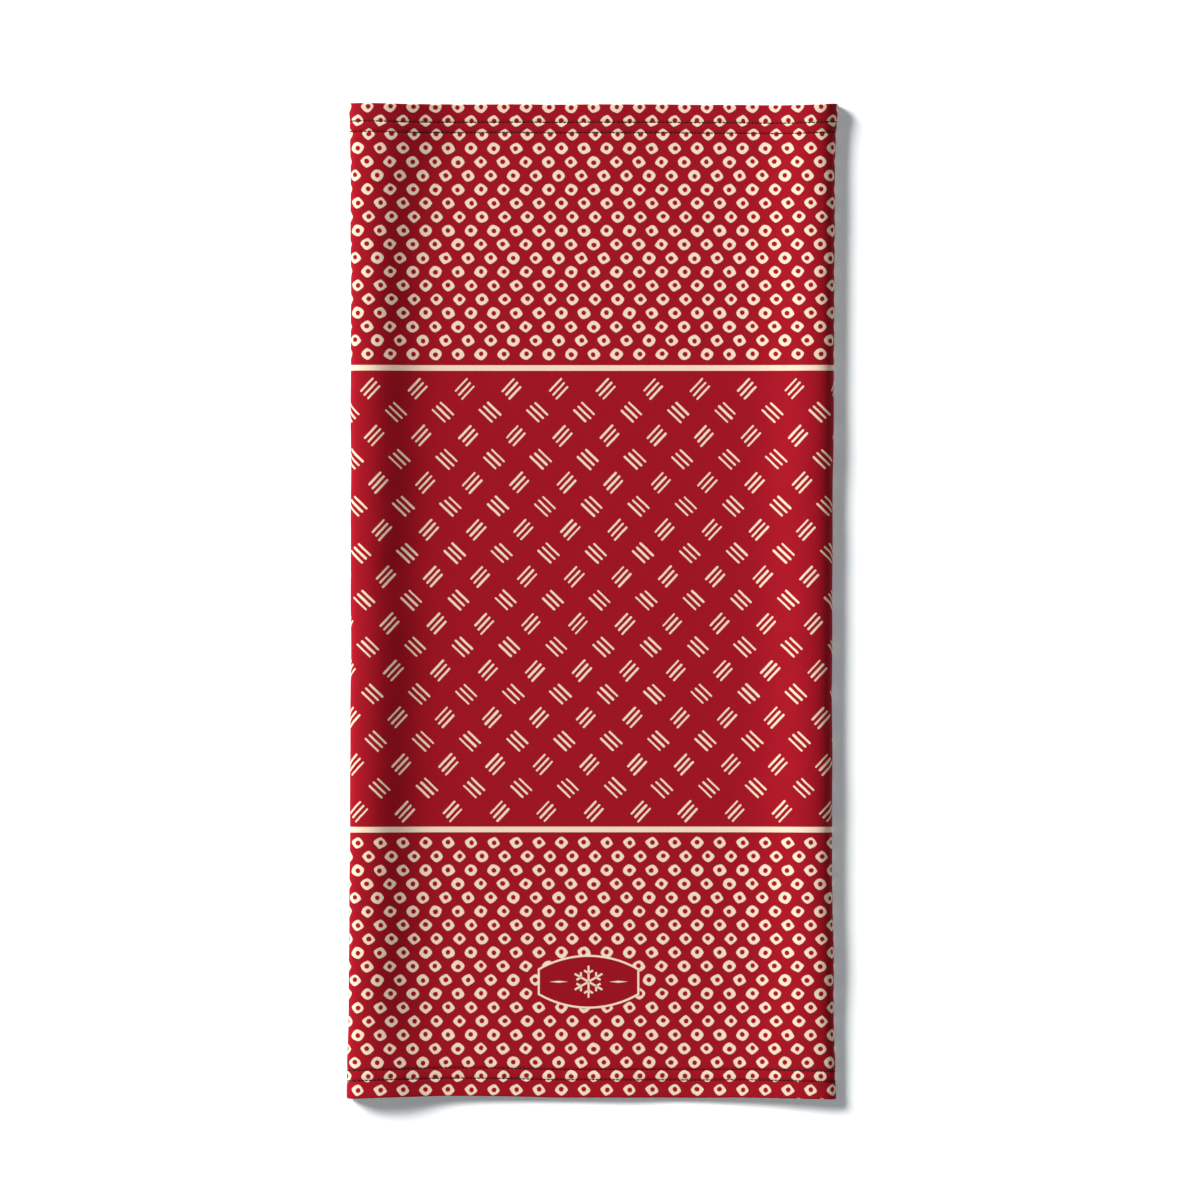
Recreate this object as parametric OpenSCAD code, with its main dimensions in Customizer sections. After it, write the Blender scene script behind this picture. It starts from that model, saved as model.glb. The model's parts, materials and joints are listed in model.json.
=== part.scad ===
// A knit neck gaiter: one cloth tube with a stitched hem at each end, lying flat.
// +X runs across the tube, +Y along it to the top hem, and +Z up from the face it lies on.
// The back wall is flat. The front wall stands off it, with a soft ridge beside each side fold.
// The tube opens as a ring of ten cloth panels, hinged at the creases and at the side folds.

/* [Tube] */
// Width of the tube lying flat
tube_w = 245; // [220:5:280]
// Length from hem edge to hem edge
tube_l = 500; // [300:10:560]
// Thickness of the knit cloth
cloth_t = 0.6; // [0.5:0.1:0.7]
// Width of the middle panel of each wall
middle_w = 56; // [56:2:64]

/* [Lying shape] */
// Height of the front wall over the middle
front_z = 7; // [7:0.5:9]
// Height of the ridge beside the left fold
left_ridge_z = 13.5; // [12:0.5:15]
// Height of the ridge beside the right fold
right_ridge_z = 12.5; // [12:0.5:15]
// Distance from the left edge to the top of its ridge
left_fold_w = 10; // [8:1:14]
// Distance from the right edge to the top of its ridge
right_fold_w = 10; // [8:1:14]
// Distance from the top of the left ridge to its steepest place
left_slope_w = 13; // [11:0.5:16]
// Distance from the top of the right ridge to its steepest place
right_slope_w = 13.5; // [11:0.5:16]
// Width of the bend in the back wall at each side fold
back_fold_w = 5; // [4.5:0.5:8]

/* [Hems] */
// Depth of the cloth folded in at each end
hem_w = 16; // [15:1:20]
// Distance from the hem edge to the first needle row
needle_row = 9; // [6:0.5:9.5]
// Distance between the two needle rows
needle_gauge = 5.2; // [4:0.2:5.6]
// Width of a needle thread's row
needle_w = 0.5; // [0.3:0.1:0.8]
// How deep the needle threads sink into the cloth
needle_t = 0.2; // [0.1:0.05:0.25]
// Thickness of the looper thread on the inner side of the hem
looper_t = 0.25; // [0.2:0.05:0.3]

/* [Back seam] */
// Width of the flat seam down the middle of the back wall
seam_w = 6; // [4:0.5:8]
// Distance from the hem's inner edge to the seam's end
seam_inset = 1; // [0.5:0.5:3]

/* [Badge] */
// Width of the printed frame, from one straight side to the other
badge_w = 51; // [30:1:51]
// Height of the printed frame over the tops of its two arches
badge_h = 27; // [20:0.5:30]
// Radius of the arches
badge_r = 50; // [35:1:80]
// Distance from the tube's middle line to the frame's centre, positive to the right
badge_x = -2.25; // [-2.25:0.25:2.25]
// Distance from the bottom hem edge to the frame's centre
badge_y = 59; // [50:1:100]
// Width of the printed lines
badge_line = 1; // [0.6:0.1:1.5]
// Thickness of the printed film
badge_t = 0.15; // [0.1:0.05:0.3]
// Length of one arm of the snow crystal inside the frame
crystal_arm = 8; // [5:0.5:9]
// Length of the spindle on each side of the crystal
spindle_l = 9; // [5:0.5:10]

/* [Hidden] */
BACK = 0;
FRONT = 1;
WALLS = ["back", "front"];
PLACES = ["left_outer", "left_inner", "middle", "right_inner", "right_outer"];
PIECES = ["panel", "top_needle_threads", "top_looper_thread", "bottom_needle_threads", "bottom_looper_thread"];

// The panels, from crease to crease, and the heights that the ring's hinges share
inner_crease = middle_w / 2;
outer_crease = (inner_crease + tube_w / 2) / 2;
CREASES = [-tube_w / 2, -outer_crease, -inner_crease, inner_crease, outer_crease, tube_w / 2];
fold_z = front_z / 2;
LAST = len(PLACES) - 1;

// Each of the ten creases turns by this much when the tube stands open and round
open_turn = 360 / (2 * len(PLACES));
// Slack between neighbouring panels along the outer face
crease_gap = 0.3;
// Slack between the two walls at the tip of a side fold
tip_gap = 0.4;
// The cuts for stitches start this far outside the cloth's outer face
cut_depth = -0.3;
// Half the distance over which a slope of the front wall is measured
slope_step = 0.01;

// Where a twig leaves an arm of the snow crystal, and its length, both as shares of the arm
twig_place = 0.55;
twig_share = 0.32;
// Space between the crystal and a spindle
spindle_gap = 2.5;

// The left value comes first, then the right
ridge_z = [left_ridge_z, right_ridge_z];
front_fold_w = [left_fold_w, right_fold_w];
slope_w = [left_slope_w, right_slope_w];

gentle_steps = 10;
fold_steps = 14;
arch_steps = 24;

CLOTH = [0.61, 0.09, 0.14];
THREAD = [0.13, 0.06, 0.06];
PRINT = [0.97, 0.87, 0.76];

function unit(v) = v / norm(v);
function reversed(list) = [for (i = [len(list) - 1:-1:0]) list[i]];

// How far a side's ridge lifts the front wall at a distance r from the middle line.
// From its top the ridge falls to the middle as a bell curve, and it is level towards the fold.
function ridge_lift(side, r) =
    let (from_top = max(tube_w / 2 - front_fold_w[side] - r, 0) / slope_w[side])
    (ridge_z[side] - front_z) * exp(-from_top * from_top / 2);

function front_height(x) = front_z + (x < 0 ? ridge_lift(0, -x) : ridge_lift(1, x));

// A point of a wall at x, at a depth measured inwards from the wall's outer face
function wall_point(wall, x, depth) =
    let (rise = front_height(x + slope_step) - front_height(x - slope_step))
    wall == BACK ? [x, depth] : [x, front_height(x)] - depth * unit([-rise, 2 * slope_step]);

// A point of a wall's bend at a side fold: turn 0 is where the bend starts and 90 is its tip
function fold_point(wall, side, turn, depth) =
    let (
        sign = side == 0 ? -1 : 1,
        across = wall == BACK ? back_fold_w : front_fold_w[side],
        up = (wall == BACK ? 0 : ridge_z[side]) - fold_z,
        outward = unit([sign * sin(turn) / across, cos(turn) / up])
    )
    [sign * (tube_w / 2 - across + across * sin(turn)), fold_z + up * cos(turn)] - depth * outward;

// Panel ends are bevelled, so that deeper layers have room when the crease turns
function trim(depth) = crease_gap / 2 + depth * tan(open_turn / 2);

// The turn at which a wall's bend ends, short of the other wall
function last_turn(wall, side) =
    acos(tip_gap / 2 / abs((wall == BACK ? 0 : ridge_z[side]) - fold_z));

// A curve across one panel at a depth. With reach, it runs on past the panel's own ends.
function level_curve(wall, place, depth, reach) =
    let (
        from = CREASES[place] + trim(depth),
        to = CREASES[place + 1] - trim(depth),
        steps = wall == BACK ? 1 : gentle_steps
    )
    concat(
        reach ? [wall_point(wall, CREASES[place], depth)] : [],
        [for (i = [0:steps]) wall_point(wall, from + (to - from) * i / steps, depth)],
        reach ? [wall_point(wall, CREASES[place + 1], depth)] : []
    );

function folded_curve(wall, side, depth, reach) =
    let (
        sign = side == 0 ? -1 : 1,
        from = outer_crease + trim(depth),
        to = tube_w / 2 - (wall == BACK ? back_fold_w : front_fold_w[side]),
        steps = wall == BACK ? 1 : gentle_steps
    )
    concat(
        reach ? [wall_point(wall, sign * outer_crease, depth)] : [],
        [for (i = [0:steps]) wall_point(wall, sign * (from + (to - from) * i / steps), depth)],
        [for (i = [1:fold_steps]) fold_point(wall, side, last_turn(wall, side) * i / fold_steps, depth)],
        reach ? [fold_point(wall, side, 90, depth)] : []
    );

function panel_curve(wall, place, depth, reach) =
    place == 0 || place == LAST
        ? folded_curve(wall, place == 0 ? 0 : 1, depth, reach)
        : level_curve(wall, place, depth, reach);

// A layer of one panel between two depths and between two places along Y
module layer(wall, place, depth_0, depth_1, y_0, y_1, reach = false) {
    outline = concat(
        panel_curve(wall, place, depth_0, reach),
        reversed(panel_curve(wall, place, depth_1, reach))
    );
    translate([0, y_1, 0])
        rotate([90, 0, 0])
            linear_extrude(y_1 - y_0)
                polygon(outline);
}

// end is 1 for the top hem and -1 for the bottom hem
module needle_rows(wall, place, end, outer_depth, reach) {
    for (row = [0, 1]) {
        y = end * (tube_l / 2 - needle_row - row * needle_gauge);
        layer(wall, place, outer_depth, needle_t, y - needle_w / 2, y + needle_w / 2, reach);
    }
}

module hem_layer(wall, place, end) {
    edge = end * tube_l / 2;
    inside = end * (tube_l / 2 - hem_w);
    layer(wall, place, cloth_t, 2 * cloth_t, min(edge, inside), max(edge, inside));
}

// A block along the back seam, between two heights
module seam_block(z_0, z_1) {
    seam_l = tube_l - 2 * hem_w - 2 * seam_inset;
    translate([-seam_w / 2, -seam_l / 2, z_0])
        cube([seam_w, seam_l, z_1 - z_0]);
}

// One panel of cloth, doubled at both hems, with a channel for each row of stitches
module panel(wall, place) {
    color(CLOTH)
        difference() {
            union() {
                layer(wall, place, 0, cloth_t, -tube_l / 2, tube_l / 2);
                hem_layer(wall, place, 1);
                hem_layer(wall, place, -1);
            }
            needle_rows(wall, place, 1, cut_depth, true);
            needle_rows(wall, place, -1, cut_depth, true);
            if (wall == BACK && PLACES[place] == "middle")
                seam_block(cut_depth, needle_t);
        }
}

module needle_threads(wall, place, end) {
    color(THREAD)
        needle_rows(wall, place, end, 0, false);
}

// The looper thread covers the strip between the two needle rows on the inner side
module looper_thread(wall, place, end) {
    far = end * (tube_l / 2 - needle_row + needle_w / 2);
    near = end * (tube_l / 2 - needle_row - needle_gauge - needle_w / 2);
    color(THREAD)
        layer(
            wall, place, 2 * cloth_t, 2 * cloth_t + looper_t,
            min(far, near), max(far, near)
        );
}

// The flat seam shows a band of thread on both faces of the back wall
module back_seam_threads() {
    color(THREAD) {
        seam_block(0, needle_t);
        seam_block(cloth_t, cloth_t + needle_t);
    }
}

// One arch of the frame, from its right end to its left end
function arch(width, height, radius) =
    let (half = asin(width / 2 / radius))
    [for (i = [0:arch_steps])
        let (a = half - 2 * half * i / arch_steps)
        [radius * sin(a), height / 2 - radius + radius * cos(a)]];

// A label outline with straight sides and an arch above and below
module label(width, height, radius) {
    top = arch(width, height, radius);
    polygon(concat(top, [for (p = reversed(top)) [p[0], -p[1]]]));
}

module bar(length) {
    translate([0, -badge_line / 2])
        square([length, badge_line]);
}

// A plain snow crystal with six arms, each with one pair of twigs
module crystal() {
    for (arm = [0:60:300])
        rotate(arm + 30) {
            bar(crystal_arm);
            for (side = [-1, 1])
                translate([crystal_arm * twig_place, 0])
                    rotate(60 * side)
                        bar(crystal_arm * twig_share);
        }
}

// A thin pointed bar that fills the space beside the crystal
module spindle() {
    translate([crystal_arm + spindle_gap, 0])
        polygon([[0, 0], [spindle_l / 2, badge_line / 2], [spindle_l, 0], [spindle_l / 2, -badge_line / 2]]);
}

module badge_print() {
    color(PRINT)
        translate([badge_x, badge_y - tube_l / 2, front_z])
            linear_extrude(badge_t) {
                difference() {
                    label(badge_w, badge_h, badge_r);
                    label(badge_w - 2 * badge_line, badge_h - 2 * badge_line, badge_r - badge_line);
                }
                crystal();
                spindle();
                mirror([1, 0])
                    spindle();
            }
}

for (wall = [BACK, FRONT], place = [0:LAST]) {
    name = str(WALLS[wall], "_", PLACES[place]);
    panel(wall, place);
    needle_threads(wall, place, 1);
    needle_threads(wall, place, -1);
    looper_thread(wall, place, 1);
    looper_thread(wall, place, -1);
}
back_seam_threads();
badge_print();
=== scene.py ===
"""Looks of a knit neck gaiter lying flat: printed cloth, hem stitches, back seam and badge film.

The CAD model holds the sizes, the panels and the creases that open the tube. Here the cloth is one
surface round the tube, cut into strips, most of which are given a bend range at a crease. Lengths are
in millimetres until a mesh is made.
"""

import json
import math

import bpy
import numpy as np
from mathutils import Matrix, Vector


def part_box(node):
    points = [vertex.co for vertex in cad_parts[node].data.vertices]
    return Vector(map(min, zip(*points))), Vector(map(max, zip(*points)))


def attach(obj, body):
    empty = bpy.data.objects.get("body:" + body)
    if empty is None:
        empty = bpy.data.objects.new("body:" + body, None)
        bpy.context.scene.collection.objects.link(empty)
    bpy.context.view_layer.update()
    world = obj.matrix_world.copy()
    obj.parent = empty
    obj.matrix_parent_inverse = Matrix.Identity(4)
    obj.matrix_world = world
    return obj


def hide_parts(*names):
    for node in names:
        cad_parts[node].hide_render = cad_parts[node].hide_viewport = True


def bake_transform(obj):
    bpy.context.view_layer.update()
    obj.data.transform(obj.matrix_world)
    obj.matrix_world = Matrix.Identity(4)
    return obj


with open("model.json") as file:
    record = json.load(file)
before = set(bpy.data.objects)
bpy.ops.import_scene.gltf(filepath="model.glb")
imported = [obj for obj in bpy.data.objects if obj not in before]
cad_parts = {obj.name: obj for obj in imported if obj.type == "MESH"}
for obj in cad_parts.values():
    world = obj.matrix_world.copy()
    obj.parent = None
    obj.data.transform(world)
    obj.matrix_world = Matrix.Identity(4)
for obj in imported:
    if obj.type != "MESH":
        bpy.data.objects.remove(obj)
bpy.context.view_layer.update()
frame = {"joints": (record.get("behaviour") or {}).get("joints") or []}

MM = 0.001

# ---- sizes that come from the frame

JOINT_X = {joint["name"]: joint["pos_m"][0] / MM for joint in frame["joints"]}
JOINT_Z = {joint["name"]: joint["pos_m"][2] / MM for joint in frame["joints"]}
INNER_CREASE = JOINT_X["front_right_inner_crease"]
OUTER_CREASE = JOINT_X["front_right_outer_crease"]
TIP = JOINT_X["right_side_fold"]
TIP_Z = JOINT_Z["right_side_fold"]
FRONT_Z = JOINT_Z["front_right_inner_crease"]


def span(node, axis):
    """Lowest and highest place of a CAD node along an axis."""
    low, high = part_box(node)
    return low[axis] / MM, high[axis] / MM


HALF_L = span("back_middle_panel", 1)[1]
NEEDLE_W = 0.5            # width of the CAD's band for one row of needle thread
ROW_LOW, ROW_HIGH = span("front_middle_top_needle_threads", 1)
NEEDLE_ROWS = (ROW_HIGH - NEEDLE_W / 2, ROW_LOW + NEEDLE_W / 2)   # the row nearer the hem's edge comes first
SEAM_HALF_W = span("back_seam_threads", 0)[1]
SEAM_HALF_L = span("back_seam_threads", 1)[1]
BADGE_SPANS = (span("badge_print", 0), span("badge_print", 1))
BADGE_X, BADGE_Y = ((low + high) / 2 for low, high in BADGE_SPANS)
BADGE_HALF_W, BADGE_HALF_H = ((high - low) / 2 for low, high in BADGE_SPANS)

# ---- the lying cloth

LEFT, RIGHT = -1, 1
CLOTH_T = 0.6
HEM_W = 16
EDGE_R = CLOTH_T          # the hem's edge is a half circle round both layers
SETTLE = 3.8              # limp cloth sinks this far below the CAD's stiff front wall
MIDDLE_Z = FRONT_Z - SETTLE
RIDGE_H = {LEFT: 8.6, RIGHT: 6.8}        # how far the ridge beside a fold stands over its foot
RIDGE_SIGMA = {LEFT: 12.5, RIGHT: 13.2}  # how fast it falls towards the middle
HEM_SLACK = {LEFT: 0.3, RIGHT: 0.5}      # share of the ridge that is gone at the bottom hem
FOOT_H = {LEFT: 1.6, RIGHT: 2.0}         # height of the ridge's wide foot over the middle
FOOT_SIGMA = 30.0
FOLD_W = {LEFT: 9.8, RIGHT: 9.6}         # from the ridge's top to the fold's tip
FOLD_POWER = {LEFT: 8.0, RIGHT: 2.4}     # 2 makes the fold an ellipse, and more makes it squarer
FOLD_DROOP = {LEFT: 2.0, RIGHT: 0.0}     # how far a square fold sinks from its ridge towards its tip
BACK_FOLD_W = 5.0         # from the fold's tip to where the back wall lies flat
FOLD_RUN = 16.0           # length along the ring kept for the front half of a fold
BACK_RUN = 8.0            # the same for its back half
SPREAD_FROM = 60.0        # the wandering of the side edges fades out this far from the middle

EDGE_X = {LEFT: 121.65, RIGHT: 120.15}   # from the middle line to a side edge, before what follows
TOP_FLARE = {LEFT: 1.1, RIGHT: 2.1}      # how much further out the edge is at a hem's end
BOTTOM_FLARE = {LEFT: 1.05, RIGHT: 1.25}
EDGE_WAVE = 0.16
NOTCH, NOTCH_SIGMA = 0.25, 1.6           # each needle row pulls the edge in a little
# Shift of a hem's edge along Y: a constant, then humps of a height, a middle and a width.
TOP_SHIFT = (-0.3, ((0.35, -TIP, 18), (-0.55, 92, 22), (0.4, TIP, 6)))
BOTTOM_SHIFT = (0.8, ((0.95, -68, 26), (-0.45, -TIP, 12), (-0.75, TIP, 16)))
SHIFT_WAVE = 0.1
SHIFT_REACH = 70          # the shift fades out over this length of the body
MOUTH_LIFT = 1.2          # how much higher the front wall stands at the tube's open ends
CORNER_LIFT = 1.6         # height of a low swell near the bottom left corner
PUCKER = 0.16             # size of the small waves along the hems
BODY_WAVE = 0.05          # the same in the body
ROW_DENT = 0.22           # how deep a needle row sinks
ROW_PUFF = 0.1            # how far the cloth stands out between the two rows
SEAM_DEPTH, SEAM_SLOPE = 0.24, 0.8       # depth of the seam's channel, and width of its sides


def ease(t):
    """0 up to t = 0 and 1 from t = 1, with a smooth step between."""
    t = np.clip(t, 0, 1)
    return t * t * (3 - 2 * t)


def bell(t):
    """A hump 1 high that falls off on both sides of t = 0."""
    return np.exp(-0.5 * t * t)


def bells(x, level, humps):
    """A constant level plus humps, each given by its height, middle and width."""
    return level + sum(height * bell((x - middle) / width) for height, middle, width in humps)


def wander(t, *lengths):
    """A slow wander between -1 and 1, from sine waves whose lengths have no common measure."""
    waves = [np.sin(2 * np.pi * t / length + 1.7 * i) for i, length in enumerate(lengths)]
    return sum(waves) / len(waves)


def unit(v):
    return v / np.linalg.norm(v, axis=-1, keepdims=True)


def by_side(side, values):
    """The value of each point's own side."""
    return np.where(side < 0, values[LEFT], values[RIGHT])


def end_distance(y):
    """Distance from the nearer hem edge."""
    return HALF_L - np.abs(y)


def edge_distance(side, y):
    """Distance of a fold's tip from the middle line. The hems flare out a little past the body."""
    from_end = end_distance(y)
    top_flare = by_side(side, TOP_FLARE) * np.exp(-from_end / 20) * (y > 0)
    bottom_flare = by_side(side, BOTTOM_FLARE) * np.exp(-(from_end / 30) ** 2) * (y < 0)
    notch = NOTCH * sum(bell((np.abs(y) - row) / NOTCH_SIGMA) for row in NEEDLE_ROWS)
    left = 0.55 * ease((-y - 20) / 110) + 0.5 * ease((-y - 130) / 60) + EDGE_WAVE * wander(y, 83, 47)
    right = 1.1 * ease((y + 20) / 190) + 0.7 * ease((-y - 125) / 60) + EDGE_WAVE * wander(y + 20, 91, 53)
    return by_side(side, EDGE_X) + np.where(side < 0, left, right) + top_flare + bottom_flare - notch


def end_shift(x, y):
    """Shift of the cloth along Y. It is whole in the hems and fades out in the body."""
    near = ease(1 - (end_distance(y) - HEM_W) / SHIFT_REACH)
    wave = SHIFT_WAVE * wander(x, 61, 37)
    return near * (np.where(y > 0, bells(x, *TOP_SHIFT), bells(x, *BOTTOM_SHIFT)) + wave)


def ridge_lift(side, from_top, y):
    """Height of the ridge beside a fold over the middle, at a distance from the ridge's top."""
    top_hem = bell(end_distance(y) / 22) * (y > 0)
    bottom_hem = bell(end_distance(y) / 30) * (y < 0)
    lift = by_side(side, RIDGE_H) * (1 + 0.05 * wander(y + 40 * side, 97, 61, 43))
    lift = lift * (1 - by_side(side, HEM_SLACK) * bottom_hem)
    sigma = by_side(side, RIDGE_SIGMA) * (1 + 0.07 * wander(y - 30 * side, 71, 113, 39))
    sigma = sigma * (1 + 0.75 * top_hem * (side < 0) + 0.25 * bottom_hem)
    return lift * bell(from_top / sigma) + by_side(side, FOOT_H) * bell(from_top / FOOT_SIGMA)


def fold_arc(turn, across, up, power, droop):
    """A quarter of a superellipse: turn 0 is its top and a right angle is the fold's tip. droop lowers
    it towards the tip, so that a square fold isn't level on top."""
    reach = ((np.sin(turn) / across) ** power + (np.cos(turn) / up) ** power) ** (-1 / power)
    x, z = reach * np.sin(turn), reach * np.cos(turn)
    return x, z - droop * (x / across) ** 2 * z / up


def front_height(side, r, y):
    """Height of the front wall's outer face at a distance r from the middle line."""
    x = side * r
    from_end = end_distance(y)
    mouth = MOUTH_LIFT * np.exp(-from_end / 22) * (1 + 0.5 * wander(x, 58, 91))
    corner = CORNER_LIFT * bell((x + 88) / 27) * bell(from_end / 20) * (y < 0)
    return MIDDLE_Z + ridge_lift(side, TIP - by_side(side, FOLD_W) - r, y) + mouth + corner


def ripple(x, y):
    """Small waves: puckers along the hems, and hardly any in the body."""
    from_row = np.abs(end_distance(y) - (HALF_L - NEEDLE_ROWS[1]))
    puckers = PUCKER * np.exp(-from_row / 9) * wander(x + 0.12 * y, 12.7, 8.3, 23.0)
    return puckers + BODY_WAVE * wander(x + 0.31 * y, 31, 47) * wander(y - 0.2 * x, 59, 83)


def needle_dent(y):
    """The stitches pull the cloth in along the two needle rows, and it stands out between them."""
    rows = sum(bell((np.abs(y) - row) / 0.55) for row in NEEDLE_ROWS)
    between = bell((np.abs(y) - sum(NEEDLE_ROWS) / 2) / 1.5)
    return ROW_PUFF * between - ROW_DENT * rows


def seam_dent(x, y):
    """The flat seam lies in a shallow channel of the back wall's outer face."""
    across = ease((SEAM_HALF_W + SEAM_SLOPE - np.abs(x)) / SEAM_SLOPE)
    return -SEAM_DEPTH * across * ease(SEAM_HALF_L + 1 - np.abs(y))


def spread(r, edge):
    """Moves a distance from the middle line with the wandering side edge."""
    return r + (edge - TIP) * ease((r - SPREAD_FROM) / (TIP - BACK_FOLD_W - SPREAD_FROM))


def outer_face(s, y):
    """A point of the cloth's outer face. s runs round the tube from the front's middle, positive to
    the right, and on round the fold to the back's middle; on the front it is X."""
    s, y = np.broadcast_arrays(np.asarray(s, float), np.asarray(y, float))
    side = np.where(s < 0, LEFT, RIGHT)
    r = np.abs(s)
    fold_w = by_side(side, FOLD_W)
    edge = edge_distance(side, y)
    fold_from = TIP - fold_w
    tip_at = fold_from + FOLD_RUN
    back_from = tip_at + BACK_RUN
    turn = np.clip((r - fold_from) / FOLD_RUN, 0, 1) * np.pi / 2
    back_turn = np.clip((r - tip_at) / BACK_RUN, 0, 1) * np.pi / 2
    fold_x, fold_z = fold_arc(turn, fold_w, front_height(side, fold_from, y) - TIP_Z,
                              by_side(side, FOLD_POWER), by_side(side, FOLD_DROOP))
    front = r < fold_from
    above_tip = r < tip_at
    below_tip = ~above_tip & (r < back_from)
    distance = np.select(
        [front, above_tip, below_tip],
        [r + (edge - TIP) * ease((r - SPREAD_FROM) / (fold_from - SPREAD_FROM)),
         edge - fold_w + fold_x,
         edge - BACK_FOLD_W + BACK_FOLD_W * np.cos(back_turn)],
        spread(TIP - BACK_FOLD_W - (r - back_from), edge))
    height = np.select([front, above_tip], [front_height(side, r, y), TIP_Z + fold_z],
                       TIP_Z * (1 - np.sin(back_turn)))
    x = side * distance
    outward_x = side * np.where(below_tip, np.cos(back_turn), np.sin(turn) * above_tip)
    outward_z = np.where(above_tip, np.cos(turn), -np.sin(back_turn))
    push = ripple(x, y) * np.clip(outward_z, 0, 1) + needle_dent(y)
    push = np.where(r > back_from, np.minimum(push, 0) + seam_dent(x, y), push)
    height = np.maximum(height + push * outward_z, 0)
    return np.stack([x + push * outward_x, y + end_shift(x, y), height], -1)


STEP = 0.02     # step from which the slopes of the face are measured


def outward(s, y):
    """Unit normal of the outer face."""
    s, y = np.broadcast_arrays(np.asarray(s, float), np.asarray(y, float))
    along_s = outer_face(s + STEP, y) - outer_face(s - STEP, y)
    along_y = outer_face(s, y + STEP) - outer_face(s, y - STEP)
    return unit(np.cross(along_s, along_y))


def back_s(side, r):
    """The place s of a point of the back wall at a distance r from the middle line."""
    return side * (TIP - FOLD_W[side] + FOLD_RUN + BACK_RUN + TIP - BACK_FOLD_W - r)


# ---- strips of cloth, with the bodies and bend ranges given for them

FRONT_CUT = (INNER_CREASE + OUTER_CREASE) / 2
SIDE_CUT = (OUTER_CREASE + TIP) / 2
MARGIN = 2.0      # MARGIN = 2.0 # a front strip's bend range stops this far short of its ends
BACK_BEND = 10.0  # half the width of a bend in the back wall
FOLD_LOW, FOLD_HIGH = 1.5, 6.5  # heights between which the side folds turn


class Strip:
    """One strip of cloth along the tube: where it lies, the bodies given for it and its CAD panel."""

    def __init__(self, name, s_from, s_to, bodies, panel, start=None, end=None):
        self.name, self.s_from, self.s_to = name, s_from, s_to
        self.bodies, self.panel, self.start, self.end = bodies, panel, start, end

    def holds(self, s):
        return self.s_from <= s < self.s_to

    def carry(self, piece, slot, nodes):
        """Parents a piece to the strip's first body when the strip has no bend, and otherwise only bakes its
        transform; then hides the given CAD nodes.
        """
        if self.start is None:
            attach(piece, self.bodies[0])
        else:
            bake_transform(piece)
        if nodes:
            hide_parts(*nodes)


def level_strip(name, x_from, x_to, bodies, panel, bend, back=False):
    """A strip of the front or back wall, from x_from to x_to, with its bend range given over the X range
    bend.
    """
    ends = (x_from, x_to)
    if back:
        side = LEFT if x_from + x_to < 0 else RIGHT
        ends = [back_s(side, abs(x)) for x in ends]
    start, end = ((x, 0, 0) for x in bend) if bend else (None, None)
    return Strip(name, *sorted(ends), bodies, panel, start, end)


def side_strip(name, side, bodies, panel):
    """A strip round a side fold. The bodies come in the order in which s meets them."""
    ends = sorted((side * SIDE_CUT, back_s(side, SIDE_CUT)))
    low, high = (side * TIP, 0, FOLD_LOW), (side * TIP, 0, FOLD_HIGH)
    start, end = (low, high) if side == LEFT else (high, low)
    return Strip(name, *ends, bodies, panel, start, end)


STRIPS = [
    level_strip("back_left_middle", -FRONT_CUT, 0, ("back_middle", "back_left_inner"), "back_left_inner",
                (-INNER_CREASE + BACK_BEND, -INNER_CREASE - BACK_BEND), back=True),
    level_strip("back_left_outer", -SIDE_CUT, -FRONT_CUT, ("back_left_inner", "back_left_outer"),
                "back_left_outer", (-OUTER_CREASE + BACK_BEND, -OUTER_CREASE - BACK_BEND), back=True),
    side_strip("left_side", LEFT, ("back_left_outer", "front_left_outer"), "front_left_outer"),
    level_strip("front_left_outer", -SIDE_CUT, -FRONT_CUT, ("front_left_outer", "front_left_inner"),
                "front_left_inner", (-SIDE_CUT + MARGIN, -FRONT_CUT - MARGIN)),
    level_strip("front_left_middle", -FRONT_CUT, 0, ("front_left_inner", "front_middle"), "front_middle",
                (-FRONT_CUT + MARGIN, FRONT_CUT - 2 * INNER_CREASE - MARGIN)),
    level_strip("front_right_middle", 0, FRONT_CUT, ("front_middle", "front_right_inner"),
                "front_right_inner", (2 * INNER_CREASE - FRONT_CUT + MARGIN, FRONT_CUT - MARGIN)),
    level_strip("front_right_outer", FRONT_CUT, SIDE_CUT, ("front_right_inner", "front_right_outer"),
                "front_right_outer", (FRONT_CUT + MARGIN, SIDE_CUT - MARGIN)),
    side_strip("right_side", RIGHT, ("front_right_outer", "back_right_outer"), "back_right_outer"),
    level_strip("back_right_outer", FRONT_CUT, SIDE_CUT, ("back_right_outer", "back_right_inner"),
                "back_right_inner", (OUTER_CREASE + BACK_BEND, OUTER_CREASE - BACK_BEND), back=True),
    level_strip("back_right_inner", INNER_CREASE, FRONT_CUT, ("back_right_inner",), None, None, back=True),
    level_strip("back_right_middle", 0, INNER_CREASE, ("back_middle",), "back_middle", None, back=True),
]


# ---- materials

RED = (0.31, 0.0062, 0.0134)
BADGE_RED = (0.288, 0.0058, 0.0125)
CREAM = (0.82, 0.63, 0.475)
REVERSE = (0.72, 0.36, 0.34)
THREAD = (0.009, 0.005, 0.005)
SEAM_THREAD = (0.27, 0.008, 0.016)

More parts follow.
